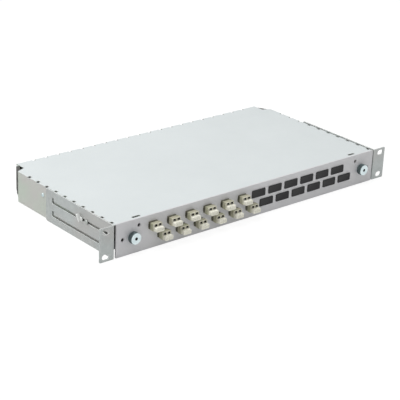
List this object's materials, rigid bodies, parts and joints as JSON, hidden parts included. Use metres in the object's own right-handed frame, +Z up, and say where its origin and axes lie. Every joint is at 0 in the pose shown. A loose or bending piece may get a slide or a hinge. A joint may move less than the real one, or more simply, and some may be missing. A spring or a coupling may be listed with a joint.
{
  "type": "rack-mount fibre interconnect unit",
  "caption": "Slim rack drawer for patching optical fibre: folded housing, adjustable rack ears and a sliding tray whose front carries staggered duplex adapters, dust plugs and blanks.",
  "frame": {"origin": "middle of the base of the unit's overall box, level with the lower edges of the front panel and the rack ears", "axes": "+X to the right across the front, +Y from the front panel to the rear, +Z up"},
  "size_m": [0.4826, 0.2452, 0.0436],
  "materials": {
    "housing_paint": "satin light grey powder coat",
    "panel_paint": "satin grey paint",
    "zinc_sheet": "zinc-coated sheet, faint grain",
    "zinc_fixings": "bright zinc",
    "beige_plastic": "matt moulded",
    "cream_plastic": "soft moulded",
    "black_plastic": "matt moulded",
    "grey_plastic": "matt moulded",
    "clear_plastic": "clear, smooth",
    "black_rubber": "matt",
    "bronze": "phosphor bronze"
  },
  "bodies": {
    "housing": {"base_shell": "housing_paint", "top_cover": "housing_paint", "cover_screws": "zinc_fixings", "left_runner": "zinc_sheet", "right_runner": "zinc_sheet", "left_cable_grommet": "black_rubber", "right_cable_grommet": "black_rubber", "lock_nuts": "zinc_fixings", "clamp_nuts": "zinc_fixings", "left_guide_rivet": "zinc_fixings", "right_guide_rivet": "zinc_fixings"},
    "left_bracket": {"left_bracket": "zinc_sheet"},
    "right_bracket": {"right_bracket": "zinc_sheet"},
    "left_clamp_screw": {"left_clamp_screw": "zinc_fixings"},
    "right_clamp_screw": {"right_clamp_screw": "zinc_fixings"},
    "drawer": {"drawer_tray": "panel_paint", "front_panel": "panel_paint", "left_slide_rail": "zinc_sheet", "right_slide_rail": "zinc_sheet", "screw_bushes": "zinc_fixings", "left_screw_spring": "zinc_fixings", "right_screw_spring": "zinc_fixings", "splice_cassette": "grey_plastic", "cassette_lid": "clear_plastic", "splice_holder": "black_plastic", "fibre_guides": "grey_plastic", "left_fibre_spool": "grey_plastic", "right_fibre_spool": "grey_plastic", "alignment_sleeves": "bronze", "rear_dust_plugs": "cream_plastic", "upper_blanking_plugs": "black_plastic", "lower_blanking_plugs": "black_plastic", "adapter_01": "beige_plastic", "adapter_02": "beige_plastic", "adapter_03": "beige_plastic", "adapter_04": "beige_plastic", "adapter_05": "beige_plastic", "adapter_06": "beige_plastic", "adapter_07": "beige_plastic", "adapter_08": "beige_plastic", "adapter_09": "beige_plastic", "adapter_10": "beige_plastic", "adapter_11": "beige_plastic", "adapter_12": "beige_plastic", "dust_plug_01": "cream_plastic", "dust_plug_02": "cream_plastic", "dust_plug_03": "cream_plastic", "dust_plug_04": "cream_plastic", "dust_plug_05": "cream_plastic", "dust_plug_06": "cream_plastic", "dust_plug_07": "cream_plastic", "dust_plug_08": "cream_plastic", "dust_plug_09": "cream_plastic", "dust_plug_10": "cream_plastic", "dust_plug_11": "cream_plastic", "dust_plug_12": "cream_plastic"},
    "left_screw_washer": {"left_screw_washer": "zinc_fixings"},
    "right_screw_washer": {"right_screw_washer": "zinc_fixings"},
    "left_thumbscrew": {"left_thumbscrew": "zinc_fixings"},
    "right_thumbscrew": {"right_thumbscrew": "zinc_fixings"}
  },
  "joints": [
    {"name": "drawer_slide", "type": "slide", "parent": "housing", "child": "drawer", "axis": [0, -1, 0], "range_m": [0, 0.15]},
    {"name": "left_bracket_adjust", "type": "slide", "parent": "housing", "child": "left_bracket", "axis": [0, -1, 0], "range_m": [-0.007, 0.06]},
    {"name": "left_clamp_turn", "type": "hinge", "parent": "housing", "child": "left_clamp_screw", "pos_m": [-0.222, -0.0436, 0.0286], "axis": [-1, 0, 0], "range_deg": [0, 720]},
    {"name": "left_screw_feed", "type": "slide", "parent": "drawer", "child": "left_screw_washer", "axis": [0, -1, 0], "range_m": [0, 0.0035], "deforming": ["left_screw_spring"]},
    {"name": "left_screw_turn", "type": "hinge", "parent": "left_screw_washer", "child": "left_thumbscrew", "pos_m": [-0.194, -0.1076, 0.0223], "axis": [0, -1, 0], "range_deg": [0, 1801]},
    {"name": "right_bracket_adjust", "type": "slide", "parent": "housing", "child": "right_bracket", "axis": [0, -1, 0], "range_m": [-0.007, 0.06]},
    {"name": "right_clamp_turn", "type": "hinge", "parent": "housing", "child": "right_clamp_screw", "pos_m": [0.222, -0.0436, 0.0286], "axis": [1, 0, 0], "range_deg": [0, 720]},
    {"name": "right_screw_feed", "type": "slide", "parent": "drawer", "child": "right_screw_washer", "axis": [0, -1, 0], "range_m": [0, 0.0035], "deforming": ["right_screw_spring"]},
    {"name": "right_screw_turn", "type": "hinge", "parent": "right_screw_washer", "child": "right_thumbscrew", "pos_m": [0.194, -0.1076, 0.0223], "axis": [0, -1, 0], "range_deg": [0, 1801]}
  ],
  "couplings": [
    {"joint": "left_screw_turn", "follows": "left_screw_feed", "rad_per_m": 8976},
    {"joint": "right_screw_turn", "follows": "right_screw_feed", "rad_per_m": 8976}
  ]
}
